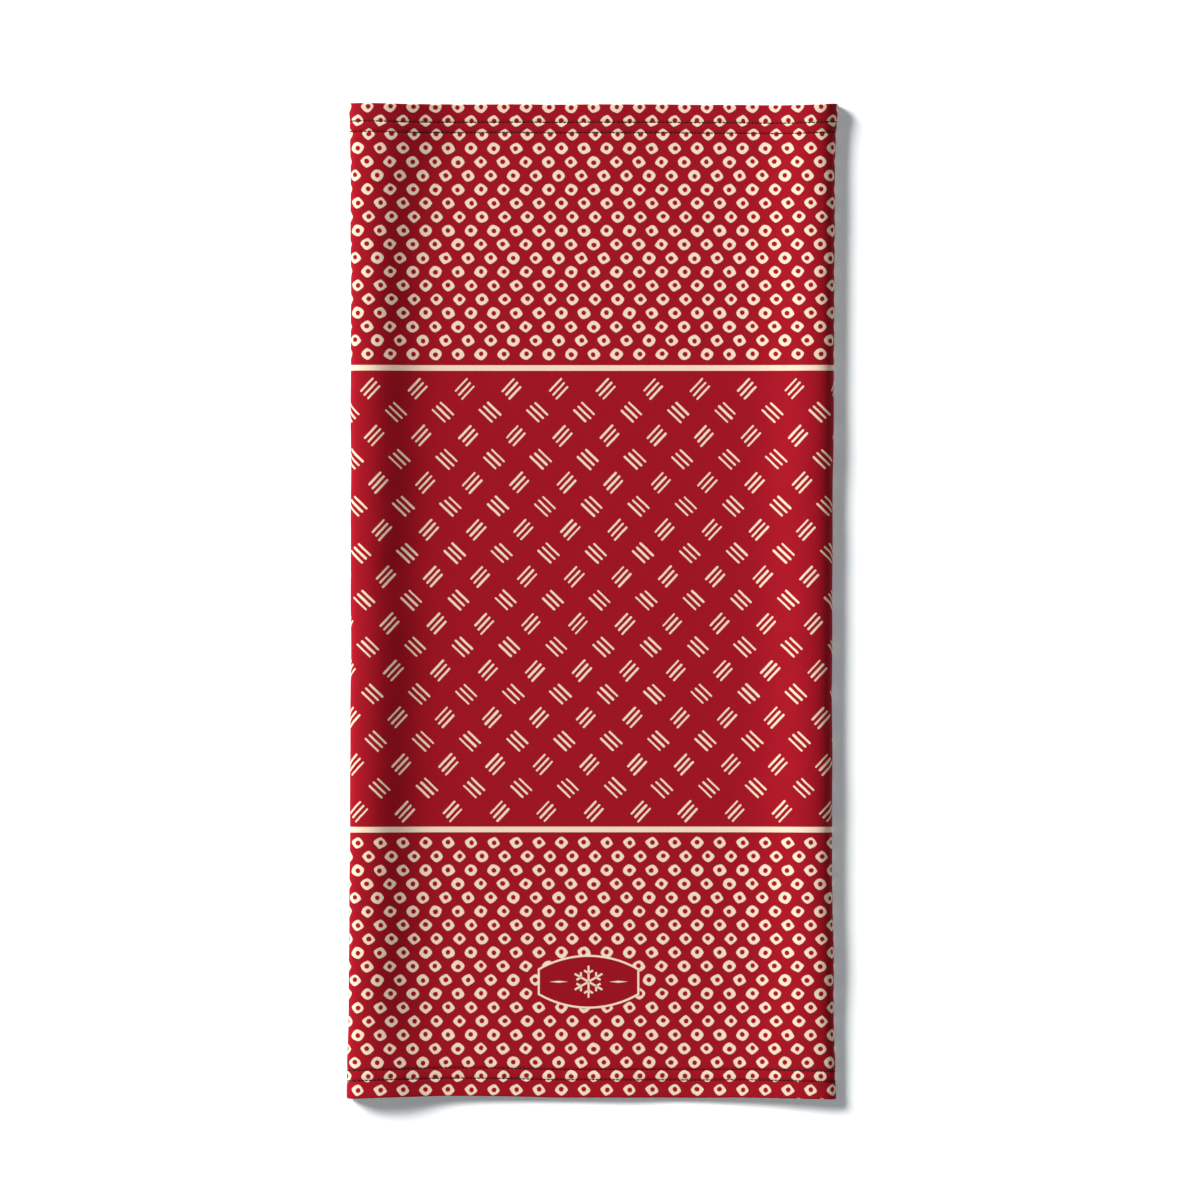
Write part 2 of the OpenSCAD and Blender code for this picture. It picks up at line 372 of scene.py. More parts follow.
RING_PITCH_X, RING_PITCH_Y = 11.363, 6.893
RING_FIRST_X = -113.2
RING_TOP_Y, RING_BOTTOM_Y = 248.24, -121.15   # the uppermost row of the upper and of the lower field
RING_LAST_ROW = 18                            # of the upper field; the lower one has no last row
NO_ROW = 100                                  # further than any row lies
RING_ROW_SHIFT = (0, -4.92, 0.6, -4.92, -0.15, -6.37)
RING_REPEAT = len(RING_ROW_SHIFT)             # the print repeats after so many rows and columns
RING_R, RING_R_MORE = 3.06, 0.2               # a ring's radius, and what chance adds to it at most
HOLE_R, HOLE_R_MORE = 1.13, 0.22
SLIT_CHANCE, SLIT_LESS = 0.93, 0.5            # above this chance a hole is a slit, narrower by so much
RING_WOBBLE, RING_WOBBLE_L = 0.28, 2.6        # how far its outline wobbles, and over what length
STROKE_PITCH_X, STROKE_PITCH_Y = 23.63, 11.79
STROKE_FIRST_X, STROKE_FIRST_Y = -111.77, 106.8
STROKE_ROW_SHIFT = 12.788
STROKE_LAST_ROW = 18
STROKE_HALF_L, STROKE_R = 4.6, 0.495
STROKE_GAP, STROKE_GAP_MORE = 2.54, 0.19      # between strokes, and what a group that leans left adds
STROKE_LEAN, STROKE_TURN = 47, 91             # degrees from level, and from one lean to the other
STROKE_STEP = 0.23                            # how far along each stroke lies past its neighbour
STROKE_WOBBLE, STROKE_WOBBLE_L = 0.16, 3.1
STRIPES = ((117.27, 1.38), (-114.49, 1.4))    # centre and half width
SOFT_EDGE = 0.16                              # how far the ink bleeds at an outline


def math_node(kind):
    """A method that adds a Math node of one kind."""
    def method(self, *others):
        return self.math(kind, *others)
    return method


class Num:
    """A number in a material's node tree. Arithmetic on it adds Math nodes."""

    def __init__(self, tree, socket):
        self.tree, self.socket = tree, socket

    def math(self, kind, *others):
        node = self.tree.nodes.new("ShaderNodeMath")
        node.operation = kind
        for slot, item in zip(node.inputs, (self, *others)):
            if isinstance(item, Num):
                self.tree.links.new(item.socket, slot)
            else:
                slot.default_value = item
        return Num(self.tree, node.outputs[0])

    __add__ = __radd__ = math_node("ADD")
    __sub__ = math_node("SUBTRACT")
    __mul__ = __rmul__ = math_node("MULTIPLY")
    __truediv__ = math_node("DIVIDE")
    __pow__ = math_node("POWER")
    __abs__ = math_node("ABSOLUTE")
    round = math_node("ROUND")
    sin = math_node("SINE")
    cos = math_node("COSINE")
    root = math_node("SQRT")
    least = math_node("MINIMUM")
    most = math_node("MAXIMUM")
    below = math_node("LESS_THAN")
    above = math_node("GREATER_THAN")
    wrap = math_node("FLOORED_MODULO")

    def __rsub__(self, other):
        return (self * -1) + other

    def clamp(self, low=0.0, high=1.0):
        return self.most(low).least(high)


def inside(distance):
    """1 where a signed distance is negative and 0 outside, with a soft edge."""
    return (0.5 - distance / SOFT_EDGE).clamp()


def vector_of(tree, *parts):
    node = tree.nodes.new("ShaderNodeCombineXYZ")
    for slot, part in zip(node.inputs, parts):
        if isinstance(part, Num):
            tree.links.new(part.socket, slot)
        else:
            slot.default_value = part
    return node.outputs[0]


def chance(tree, *cell):
    """Three random numbers from 0 to 1 that stay the same all over one cell of the print."""
    noise = tree.nodes.new("ShaderNodeTexWhiteNoise")
    noise.noise_dimensions = "3D"
    tree.links.new(vector_of(tree, *cell), noise.inputs["Vector"])
    split = tree.nodes.new("ShaderNodeSeparateColor")
    tree.links.new(noise.outputs["Color"], split.inputs[0])
    return [Num(tree, socket) for socket in split.outputs]


def noise(tree, u, v, length, depth):
    """Smooth noise from -1 to 1 with waves of about the given length. Each depth is another noise."""
    node = tree.nodes.new("ShaderNodeTexNoise")
    node.inputs["Scale"].default_value = 1
    node.inputs["Detail"].default_value = 2
    tree.links.new(vector_of(tree, u / length, v / length, depth), node.inputs["Vector"])
    return Num(tree, node.outputs[0]) * 2 - 1


def print_place(tree):
    """Place on the print, in millimetres across and along the tube."""
    node = tree.nodes.new("ShaderNodeUVMap")
    node.uv_map = "print"
    split = tree.nodes.new("ShaderNodeSeparateXYZ")
    tree.links.new(node.outputs[0], split.inputs[0])
    return Num(tree, split.outputs[0]), Num(tree, split.outputs[1])


def rings(tree, u, v):
    """Rows of small hand-drawn rings: rounded diamonds with an off-centre hole."""
    lower = v.below(0)
    first_y = RING_TOP_Y - (RING_TOP_Y - RING_BOTTOM_Y) * lower
    row = ((first_y - v) / RING_PITCH_Y).round()
    row = row.least(RING_LAST_ROW + NO_ROW * lower).most(-NO_ROW + NO_ROW * lower)
    kind = (row + lower).wrap(RING_REPEAT)
    shift = sum((kind - i).math("COMPARE", 0, 0.5) * by for i, by in enumerate(RING_ROW_SHIFT) if by)
    across = u - RING_FIRST_X - shift
    column = (across / RING_PITCH_X).round()
    turn, size, pinch = chance(tree, column.wrap(RING_REPEAT), kind, 1)
    hole_x, hole_y, slit = chance(tree, column.wrap(RING_REPEAT), kind, 2)
    tall, point, hole_size = chance(tree, column.wrap(RING_REPEAT), kind, 3)
    x = across - column * RING_PITCH_X + RING_WOBBLE * noise(tree, u, v, RING_WOBBLE_L, 0)
    y = v - first_y + row * RING_PITCH_Y + RING_WOBBLE * noise(tree, u, v, RING_WOBBLE_L, 7)
    angle = (turn - 0.5) * 0.5
    along = x * angle.cos() + y * angle.sin()
    up = y * angle.cos() - x * angle.sin()
    power = 1.27 + 0.4 * point
    radius = RING_R + RING_R_MORE * size
    wide, high = radius * (0.985 + 0.06 * pinch), radius * (0.905 + 0.05 * tall)
    outline = ((abs(along) / wide) ** power + (abs(up) / high) ** power) ** (power ** -1)
    body = inside((outline - 1) * radius)
    hole_x, hole_y = x - (hole_x - 0.5) * 0.8, y - (hole_y - 0.5) * 0.7
    hole_w = HOLE_R + HOLE_R_MORE * hole_size - SLIT_LESS * slit.above(SLIT_CHANCE)
    hole = inside((hole_x * hole_x / (hole_w * hole_w) + hole_y * hole_y / 1.55).root() - 1)
    return body * (1 - hole)


def strokes(tree, u, v):
    """Groups of three short slanted strokes. Every other row leans the other way."""
    row = ((STROKE_FIRST_Y - v) / STROKE_PITCH_Y).round().clamp(0, STROKE_LAST_ROW)
    across = u - STROKE_FIRST_X - row * STROKE_ROW_SHIFT
    column = (across / STROKE_PITCH_X).round()
    leans_left = row.wrap(2)
    x = across - column * STROKE_PITCH_X + STROKE_WOBBLE * noise(tree, u, v, STROKE_WOBBLE_L, 3)
    y = v - STROKE_FIRST_Y + row * STROKE_PITCH_Y + STROKE_WOBBLE * noise(tree, u, v, STROKE_WOBBLE_L, 11)
    angle = math.radians(STROKE_LEAN) - math.radians(STROKE_TURN) * leans_left
    along = x * angle.cos() + y * angle.sin()
    beside = y * angle.cos() - x * angle.sin()
    gap = STROKE_GAP + STROKE_GAP_MORE * leans_left
    stroke = (beside / gap).round().clamp(-1, 1)
    longer, thicker, slide = chance(tree, column + stroke * 0.3, row, 5)
    along = along - STROKE_STEP * stroke + 0.4 * (slide - 0.5)
    beside = beside - stroke * gap
    radius = STROKE_R + 0.2 * (thicker - 0.5) + 0.05 * (1 - abs(stroke))
    past = (abs(along) - (STROKE_HALF_L - STROKE_R) - 0.5 * (longer - 0.5)).most(0)
    return inside((past * past + beside * beside).root() - radius)


def printed(tree, u, v):
    """How much cream ink lies at a place, and whether it is inside the badge."""
    x, y = abs(u - BADGE_X), abs(v - BADGE_Y)
    arch = (BADGE_R * BADGE_R - (x * x).least(BADGE_R * BADGE_R)).root() + (BADGE_HALF_H - BADGE_R)
    badge = x.below(BADGE_HALF_W - BADGE_LINE / 2) * y.below(arch - BADGE_LINE / 2)
    stripe = sum(inside(abs(v - centre) - half) for centre, half in STRIPES)
    (upper_y, upper_half), (lower_y, lower_half) = STRIPES
    stroke_field = v.below(upper_y - upper_half) * v.above(lower_y + lower_half)
    ring_field = v.above(upper_y + upper_half) + v.below(lower_y - lower_half)
    ink = rings(tree, u, v) * ring_field * (1 - badge)
    ink = ink.most(strokes(tree, u, v) * stroke_field).most(stripe)
    return ink, badge


def mix_colour(tree, factor, a, b):
    """Colour a where the factor is 0 and b where it is 1."""
    node = tree.nodes.new("ShaderNodeMix")
    node.data_type = "RGBA"
    tree.links.new(factor.socket, node.inputs[0])
    for slot, colour in ((node.inputs[6], a), (node.inputs[7], b)):
        if isinstance(colour, tuple):
            slot.default_value = (*colour, 1)
        else:
            tree.links.new(colour, slot)
    return node.outputs[2]


def shaded(tree, colour, amount):
    """The colour made lighter or darker by a share."""
    node = tree.nodes.new("ShaderNodeVectorMath")
    node.operation = "SCALE"
    if isinstance(colour, tuple):
        node.inputs[0].default_value = colour
    else:
        tree.links.new(colour, node.inputs[0])
    tree.links.new((1 + amount).socket, node.inputs["Scale"])
    return node.outputs[0]


def new_material(name, roughness, specular, specular_tint=(1, 1, 1)):
    material = bpy.data.materials.new(name)
    material.use_nodes = True
    tree = material.node_tree
    shader = tree.nodes["Principled BSDF"]
    shader.inputs["Roughness"].default_value = roughness
    shader.inputs["Specular IOR Level"].default_value = specular
    shader.inputs["Specular Tint"].default_value = (*specular_tint, 1)
    return material, tree, shader


def add_bump(tree, shader, height, distance, strength):
    bump = tree.nodes.new("ShaderNodeBump")
    bump.inputs["Distance"].default_value = distance * MM
    bump.inputs["Strength"].default_value = strength
    tree.links.new(height.socket, bump.inputs["Height"])
    tree.links.new(bump.outputs[0], shader.inputs["Normal"])


WALE, COURSE = 0.85, 0.62   # width and height of one knit loop
GRAIN_L = 0.9               # length of the fine unevenness of the knit's colour
PLY_PITCH = 0.35            # from one turn of a thread's ply to the next


def knit_height(tree, u, v):
    """Height of a fine jersey knit: rows of small V-shaped loops."""
    across = (u / WALE).wrap(1) - 0.5
    loop = (v / COURSE + abs(across) * 1.1) * (2 * math.pi)
    groove = (abs(across) * 2) ** 3
    return 0.5 * loop.sin() - groove + 0.9 * noise(tree, u, v, 0.7, 4)


def printed_knit():
    material, tree, shader = new_material("printed_knit", 0.75, 0.06, (0.6, 0.4, 1))
    u, v = print_place(tree)
    ink, badge = printed(tree, u, v)
    red = mix_colour(tree, badge, RED, BADGE_RED)
    colour = mix_colour(tree, ink, red, CREAM)
    grain = 0.07 * noise(tree, u, v, GRAIN_L, 1) + 0.025 * noise(tree, u, v, 14, 2)
    tree.links.new(shaded(tree, colour, grain), shader.inputs["Base Color"])
    rough = 0.75 + 0.05 * noise(tree, u, v, 3, 5) + 0.05 * ink
    tree.links.new(rough.socket, shader.inputs["Roughness"])
    add_bump(tree, shader, knit_height(tree, u, v), 0.08, 0.5)
    return material


def knit_reverse():
    """The pale inner side of the cloth, where the print shows through faintly."""
    material, tree, shader = new_material("knit_reverse", 0.88, 0.12)
    u, v = print_place(tree)
    ink, _ = printed(tree, u, v)
    colour = mix_colour(tree, ink, REVERSE, CREAM)
    grain = 0.06 * noise(tree, u, v, GRAIN_L, 1)
    tree.links.new(shaded(tree, colour, grain), shader.inputs["Base Color"])
    add_bump(tree, shader, knit_height(tree, u, v), 0.1, 0.6)
    return material


def thread_material(name, colour):
    """Twisted thread: a fine slanted ply along each stitch. Its colour is painted lighter on the ply's crests
    and darker in its grooves (painted shade), with random tone on top.
    """
    material, tree, shader = new_material(name, 0.7, 0.12)
    u, v = print_place(tree)
    ply = ((u * 0.7 + v) * (2 * math.pi / PLY_PITCH)).sin()
    # painted shade: the colour follows the ply's relief, darker in its grooves and lighter on its crests; the
    # noise adds random tone
    amount = 0.15 * ply + 0.12 * noise(tree, u, v, 1.3, 2)
    tree.links.new(shaded(tree, colour, amount), shader.inputs["Base Color"])
    add_bump(tree, shader, ply, 0.04, 0.5)
    return material


def badge_ink():
    """Thick cream ink with a faint crackle."""
    material, tree, shader = new_material("badge_ink", 0.55, 0.25)
    u, v = print_place(tree)
    wear = noise(tree, u, v, 0.5, 3)
    tree.links.new(shaded(tree, CREAM, 0.05 * wear), shader.inputs["Base Color"])
    tree.links.new((0.55 + 0.08 * wear).socket, shader.inputs["Roughness"])
    add_bump(tree, shader, wear, 0.03, 0.4)
    return material


# ---- mesh making


def make_piece(name, points, faces, normals, uvs, materials, face_material=None):
    """A mesh object from points in millimetres. normals and uvs have one row per face corner."""
    mesh = bpy.data.meshes.new(name)
    mesh.from_pydata((np.asarray(points) * MM).tolist(), [], faces)
    for material in materials:
        mesh.materials.append(material)
    if face_material is not None:
        mesh.polygons.foreach_set("material_index", np.asarray(face_material, np.int32))
    layer = mesh.uv_layers.new(name="print")
    layer.data.foreach_set("uv", np.asarray(uvs, np.float32).ravel())
    mesh.polygons.foreach_set("use_smooth", np.ones(len(mesh.polygons), bool))
    mesh.update()
    if normals is not None:
        mesh.normals_split_custom_set(np.asarray(normals, np.float32).tolist())
    piece = bpy.data.objects.new(name, mesh)
    bpy.context.scene.collection.objects.link(piece)
    return piece


# ---- cloth


# widest distances between the columns and rows of points
FRONT_PITCH, FOLD_PITCH, BACK_PITCH, SEAM_PITCH = 1.6, 1.0, 3.2, 0.5
BODY_PITCH, HEM_PITCH = 4, 1.2
FINE_FROM = 215           # the rows lie closer from here to the ends
ROW_STEPS = (0.15, 0.35, 0.6, 0.9, 1.3)   # and closer still at these distances from a needle row
EDGE_STEPS = 6            # of the half circle round a hem's edge
RAW_EDGE = HALF_L - HEM_W   # where the cloth that is folded in ends
RAW_SLANT = 0.3


def between(start, end, pitch):
    """Evenly spaced places from start to end, with at most the given pitch."""
    return np.linspace(start, end, int(math.ceil(abs(end - start) / pitch - 1e-9)) + 1)


def merged(*lists):
    """All the places of several lists in order, each once."""
    return np.unique(np.round(np.concatenate(lists), 6))


def ring_columns():
    """Places round the tube at which the cloth has a column of points."""
    cuts = sorted({round(end, 6) for strip in STRIPS for end in (strip.s_from, strip.s_to)})
    folds = []
    for side in (LEFT, RIGHT):
        start = TIP - FOLD_W[side]
        folds += [side * start, side * (start + FOLD_RUN), side * (start + FOLD_RUN + BACK_RUN)]
    marks = sorted(set(cuts) | {round(f, 6) for f in folds})
    parts = []
    for a, b in zip(marks, marks[1:]):
        middle = abs(a + b) / 2
        on_back = middle > TIP + FOLD_RUN
        on_fold = not on_back and middle > TIP - max(FOLD_W.values())
        parts.append(between(a, b, BACK_PITCH if on_back else FOLD_PITCH if on_fold else FRONT_PITCH))
    seam = np.arange(0, SEAM_HALF_W + 1.5, SEAM_PITCH)
    near_seam = [back_s(side, r) for side in (LEFT, RIGHT) for r in seam]
    return merged(*parts, near_seam)


def cloth_rows():
    """Places along the tube at which the cloth has a row of points."""
    body = between(-FINE_FROM, FINE_FROM, BODY_PITCH)
    hem = between(FINE_FROM, HALF_L - EDGE_R, HEM_PITCH)
    dents = [row + side * step for row in NEEDLE_ROWS for step in (0, *ROW_STEPS) for side in (-1, 1)]
    raw = [RAW_EDGE - RAW_SLANT - 0.6, RAW_EDGE - RAW_SLANT, RAW_EDGE, RAW_EDGE + 0.6]
    upper = merged(hem, dents, raw)
    return merged(-upper, body, upper)


class Profile:
    """The cut along the tube: outer face, round hem edge, inner face, and the other hem edge."""

    def __init__(self):
        rows = cloth_rows()
        last = rows[-1]
        arc = np.linspace(0, np.pi, EDGE_STEPS + 1)[1:-1]
        inner = rows[::-1]
        doubled = np.abs(inner) > RAW_EDGE - RAW_SLANT / 2
        inner_depth = np.where(doubled, 2 * CLOTH_T, CLOTH_T)
        # the print runs on over the hem's edge and down the folded layer
        folded_v = np.sign(inner) * (2 * last + np.pi * EDGE_R - np.abs(inner))
        self.n = len(rows)
        self.y = np.concatenate([rows, last + EDGE_R * np.sin(arc), inner, -last - EDGE_R * np.sin(arc)])
        self.face_y = np.clip(self.y, -HALF_L + EDGE_R, HALF_L - EDGE_R)   # the row of the face it lies under
        self.depth = np.concatenate([
            0 * rows, EDGE_R - EDGE_R * np.cos(arc), inner_depth, EDGE_R + EDGE_R * np.cos(arc)])
        self.v = np.concatenate([
            rows, last + EDGE_R * arc, np.where(doubled, folded_v, inner), -last - EDGE_R * (np.pi - arc)])
        inner_from = self.n + len(arc)
        self.printed = np.ones(len(self.y), bool)    # of the face from each point to the next
        single = ~doubled | ~np.append(doubled[1:], True)
        self.printed[inner_from:inner_from + self.n] = ~single
        self.inner = inner_from + np.arange(self.n)[::-1]   # inner point under each outer row


PROFILE = Profile()
COLUMNS = ring_columns()
PRINT_TURN = 3.5      # the print starts to follow the fold's bend this far from the CAD's edge


def cloth_points():
    """Points of the whole tube: one column per place round it, one row per point of the profile."""
    s, y = COLUMNS[:, None], PROFILE.face_y[None]
    points = outer_face(s, y) - PROFILE.depth[None, :, None] * outward(s, y)
    points[..., 1] += PROFILE.y - PROFILE.face_y
    return points


def cloth_normals(points):
    """Unit normals of the whole tube, which run on from one strip to the next."""
    ahead = np.roll(points[:-1], -1, axis=0)
    behind = np.roll(points[:-1], 1, axis=0)
    along_s = np.concatenate([ahead - behind, (ahead - behind)[:1]])
    along_profile = np.roll(points, -1, axis=1) - np.roll(points, 1, axis=1)
    return unit(np.cross(along_s, along_profile))


def print_places():
    """Place on the print of every point. On the front it is X and Y, so that the print runs straight
    off a wandering edge. Near a fold's tip and past it, u is length along the cloth."""
    face = outer_face(COLUMNS[:, None], PROFILE.face_y[None])
    line = outer_face(COLUMNS, 0 * COLUMNS)
    length = np.concatenate([[0], np.cumsum(np.linalg.norm(np.diff(line, axis=0), axis=1))])
    u = face[..., 0].copy()
    for side in (LEFT, RIGHT):
        on_front = np.flatnonzero((side * COLUMNS >= 0) & (side * COLUMNS < TIP + FOLD_RUN / 2)
                                  & (side * line[:, 0] < TIP - PRINT_TURN))
        last = on_front[-1] if side == RIGHT else on_front[0]
        past = side * (COLUMNS - COLUMNS[last]) > 0
        u[past] = u[last] + (length - length[last])[past, None]
    shift = face[..., 1] - PROFILE.face_y
    return u, PROFILE.v[None] + shift, PROFILE.y[None] + shift


POINTS = cloth_points()
NORMALS = cloth_normals(POINTS)
PRINT_U, PRINT_V, REVERSE_V = print_places()


def cloth_strip(strip, materials):
    """A closed strip of cloth: outer face, folded hems, inner face and the two cut sides."""
    low, high = np.searchsorted(COLUMNS, [strip.s_from - 1e-4, strip.s_to + 1e-4])
    columns = range(low, high)
    rows = len(PROFILE.y)
    points = POINTS[low:high].reshape(-1, 3)

    def at(i, k):
        return (i - low) * rows + k % rows

    faces, normals, uvs, slots = [], [], [], []
    for i in columns[:-1]:
        for k in range(rows):
            corners = ((i, k), (i + 1, k), (i + 1, k + 1), (i, k + 1))
            faces.append([at(*c) for c in corners])
            normals += [NORMALS[a, b % rows] for a, b in corners]
            is_print = PROFILE.printed[k]
            along = PRINT_V if is_print else REVERSE_V
            uvs += [(PRINT_U[a, b % rows], along[a, b % rows]) for a, b in corners]
            slots.append(0 if is_print else 1)
    for i, turned in ((low, False), (high - 1, True)):
        cap_normal = np.cross([0, 1, 0], -NORMALS[i, PROFILE.n // 2]) * (-1 if turned else 1)
        caps = [(j, j + 1, PROFILE.inner[j + 1], PROFILE.inner[j]) for j in range(PROFILE.n - 1)]
        caps.append(tuple(range(PROFILE.n - 1, PROFILE.inner[-1] + 1)))
        caps.append((*range(PROFILE.inner[0], rows), 0))
        for cap in caps:
            cap = cap[::-1] if turned else cap
            faces.append([at(i, k) for k in cap])
            normals += [cap_normal] * len(cap)
            uvs += [(PRINT_U[i, k] + 0.01 * PROFILE.depth[k], REVERSE_V[i, k]) for k in cap]
            slots.append(1)
    return make_piece("cloth_" + strip.name, points, faces, normals, uvs, materials, slots)


def add_cloth():
    materials = [printed_knit(), knit_reverse()]
    for strip in STRIPS:
        piece = cloth_strip(strip, materials)
        strip.carry(piece, "printed_knit", [strip.panel + "_panel"] if strip.panel else [])


# ---- threads


class ThreadMesh:
    """Collects round threads, each along its own path, into one mesh."""

    SIDES = 8

    def __init__(self):
        self.points, self.faces, self.uvs, self.count = [], [], [], 0

    def add(self, path, across, up, half_w, half_h, u, v):
        """A thread along a path. across and up span its section; u and v are its place on the print."""
        turn = np.arange(self.SIDES) * 2 * np.pi / self.SIDES
        size = np.broadcast_to(half_w, len(path))[:, None, None]
        tall = np.broadcast_to(half_h, len(path))[:, None, None]
        ring = (path[:, None] + across[:, None] * np.cos(turn)[None, :, None] * size
                + up[:, None] * np.sin(turn)[None, :, None] * tall)
        first, n, sides = self.count, len(path), self.SIDES
        self.points.append(ring.reshape(-1, 3))
        self.count += n * sides
        for i in range(n - 1):
            for j in range(sides):
                k = (j + 1) % sides
                self.faces.append([first + i * sides + j, first + i * sides + k,
                                   first + (i + 1) * sides + k, first + (i + 1) * sides + j])
                self.uvs += [(u[i], v[i] + 0.1 * j), (u[i], v[i] + 0.1 * (j + 1)),
                             (u[i + 1], v[i + 1] + 0.1 * (j + 1)), (u[i + 1], v[i + 1] + 0.1 * j)]
        for i, order in ((0, -1), (n - 1, 1)):
            self.faces.append([first + i * sides + j for j in range(sides)][::order])
            self.uvs += [(u[i], v[i])] * sides

    def piece(self, name, material):
        return make_piece(name, np.concatenate(self.points), self.faces, None, self.uvs, [material])


def frame_along(path, up):
    """The sideways direction of a path, for a given up direction."""
    return unit(np.cross(up, np.gradient(path, axis=0)))


STITCH = 2.05          # from one needle hole to the next
STITCH_SHOWN = 1.95    # what shows of each stitch between its holes
STITCH_HALF_W, STITCH_HALF_H = 0.3, 0.2
STITCH_LIFT, STITCH_SINK = 0.16, 0.3   # height of its middle over the cloth, and how far its ends sink
LOOPER_HALF_W, LOOPER_HALF_H = 0.2, 0.15
LOOPER_LIFT, LOOPER_LOW = 0.16, 0.06   # height over the cloth, and at the needle holes
LANE_LIFT = 0.04       # how much higher the second lane lies than the first
SHORTEST = 0.3         # no looper turns nearer than this to a strip's ends
RUNG_PITCH = 2.2
RAIL_HALF_W, RUNG_HALF_W, RAIL_HALF_H = 0.22, 0.2, 0.09
RAIL_INSET = 0.3       # from the CAD seam's edge to the outer rails
RAIL_Z = 0.12          # height of the seam's threads on the tube's outer face, which lies down
INNER_RAIL_Z = CLOTH_T + 0.22


def stitch_places(strip):
    """Middles of the stitches in a strip. They are counted round the tube from the front's middle."""
    first = math.ceil(strip.s_from / STITCH)
    return [i * STITCH for i in range(first, math.ceil(strip.s_to / STITCH)) if strip.holds(i * STITCH)]


def needle_stitches(strip, end):
    """Short straight stitches of both needle rows, on the outer face of one hem."""
    threads = ThreadMesh()
    along = np.linspace(-0.5, 0.5, 7)
    for row in NEEDLE_ROWS:
        y = np.full(len(along), end * row)
        for middle in stitch_places(strip):
            s = middle + along * STITCH_SHOWN
            up = outward(s, y)
            sink = STITCH_SINK * np.abs(2 * along) ** 3
            path = outer_face(s, y) + up * (STITCH_LIFT - sink)[:, None]
            path[:, 2] = np.maximum(path[:, 2], STITCH_HALF_H)
            slim = np.sqrt(np.clip(1.02 - (2 * along) ** 6, 0.05, 1))
            threads.add(path, frame_along(path, up), up, STITCH_HALF_W * slim, STITCH_HALF_H * slim, s, y)
    return threads


def looper_thread(strip, end):
    """The looper thread zigzags between the needle rows on the inner side of one hem."""
    threads = ThreadMesh()
    low, high = strip.s_from, strip.s_to
    turns = [m for m in stitch_places(strip) if low + SHORTEST < m < high - SHORTEST]
    ends = [low, *turns, high]
    for lane, (row, other) in enumerate((NEEDLE_ROWS, NEEDLE_ROWS[::-1])):
        s, y = [], []
        for a, b in zip(ends, ends[1:]):
            s += [a, a + 0.25 * (b - a), a + 0.75 * (b - a)]
            y += [row, row, other]
            row, other = other, row
        s, y = np.array(s + [high]), end * np.array(y + [row])
        up = -outward(s, y)
        lift = np.where(np.arange(len(s)) % 3 == 0, LOOPER_LOW, LOOPER_LIFT) + LANE_LIFT * lane
        path = outer_face(s, y) + up * (2 * CLOTH_T + lift)[:, None]
        threads.add(path, frame_along(path, up), up, LOOPER_HALF_W, LOOPER_HALF_H, s, y)
    return threads


def add_hem_threads():
    material = thread_material("hem_thread", THREAD)
    for strip in STRIPS:
        for end, hem in ((1, "top"), (-1, "bottom")):
            for kind, make, node in (("needle", needle_stitches, "needle_threads"),
                                     ("looper", looper_thread, "looper_thread")):
                piece = make(strip, end).piece(f"{hem}_{kind}_{strip.name}", material)
                nodes = [f"{strip.panel}_{hem}_{node}"] if strip.panel else []
                strip.carry(piece, "hem_thread", nodes)


def back_seam():
    """A flat seam: rungs between three rails of thread, on both faces of the back wall."""
    threads = ThreadMesh()
    count = int(SEAM_HALF_L / RUNG_PITCH)
    places = np.arange(-count, count + 1) * RUNG_PITCH
    half_w = SEAM_HALF_W - RAIL_INSET
    for z, up_z in ((RAIL_Z, -1), (INNER_RAIL_Z, 1)):
        y = np.linspace(-SEAM_HALF_L, SEAM_HALF_L, 2 * count)
        for x in (-half_w, 0, half_w):
            path = np.stack([0 * y + x, y, 0 * y + z], -1)
            up = np.tile([0.0, 0, up_z], (len(y), 1))
            threads.add(path, frame_along(path, up), up, RAIL_HALF_W, RAIL_HALF_H, path[:, 0], y)
        for y_0 in places:
            x = np.linspace(-half_w, half_w, 5)
            slant = y_0 + 0.5 * RUNG_PITCH * x / half_w
            path = np.stack([x, slant, 0 * x + z + 0.01], -1)
            up = np.tile([0.0, 0, up_z], (len(x), 1))
            threads.add(path, frame_along(path, up), up, RUNG_HALF_W, RAIL_HALF_H, x, slant)
    piece = threads.piece("back_seam_stitches", thread_material("seam_thread", SEAM_THREAD))
    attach(piece, "back_middle")
    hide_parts("back_seam_threads")


# ---- badge

BADGE_R = 50.0            # radius of its arches
BADGE_LINE = 1.0
BADGE_T = 0.15
ARCH_STEPS = 40
BAR_STEPS = 6
CRYSTAL_ARM = 8.0
BRANCH_AT, BRANCH_L = 0.55 * CRYSTAL_ARM, 0.32 * CRYSTAL_ARM
SPINDLE_GAP, SPINDLE_L = 2.5, 9.0
SPINDLE_TIP = 0.02        # half its width at both ends


def label_outline(half_w, half_h, radius):
    """A label with straight sides and an arch above and below, anticlockwise."""
    half = math.asin(half_w / radius)
    a = np.linspace(half, -half, ARCH_STEPS)
    top = np.stack([radius * np.sin(a), half_h - radius + radius * np.cos(a)], -1)
    side = np.linspace(top[-1, 1], -top[-1, 1], 9)[1:-1]
    left = np.stack([0 * side - half_w, side], -1)
    return np.concatenate([top, left, -top, -left])


def bar_outline(start, angle, length, width):
    """The two long sides of a straight bar as lists of points."""
    direction = np.array([math.cos(angle), math.sin(angle)])
    normal = np.array([-direction[1], direction[0]]) * width / 2
    line = np.asarray(start) + np.linspace(0, length, BAR_STEPS)[:, None] * direction
    return line - normal, line + normal


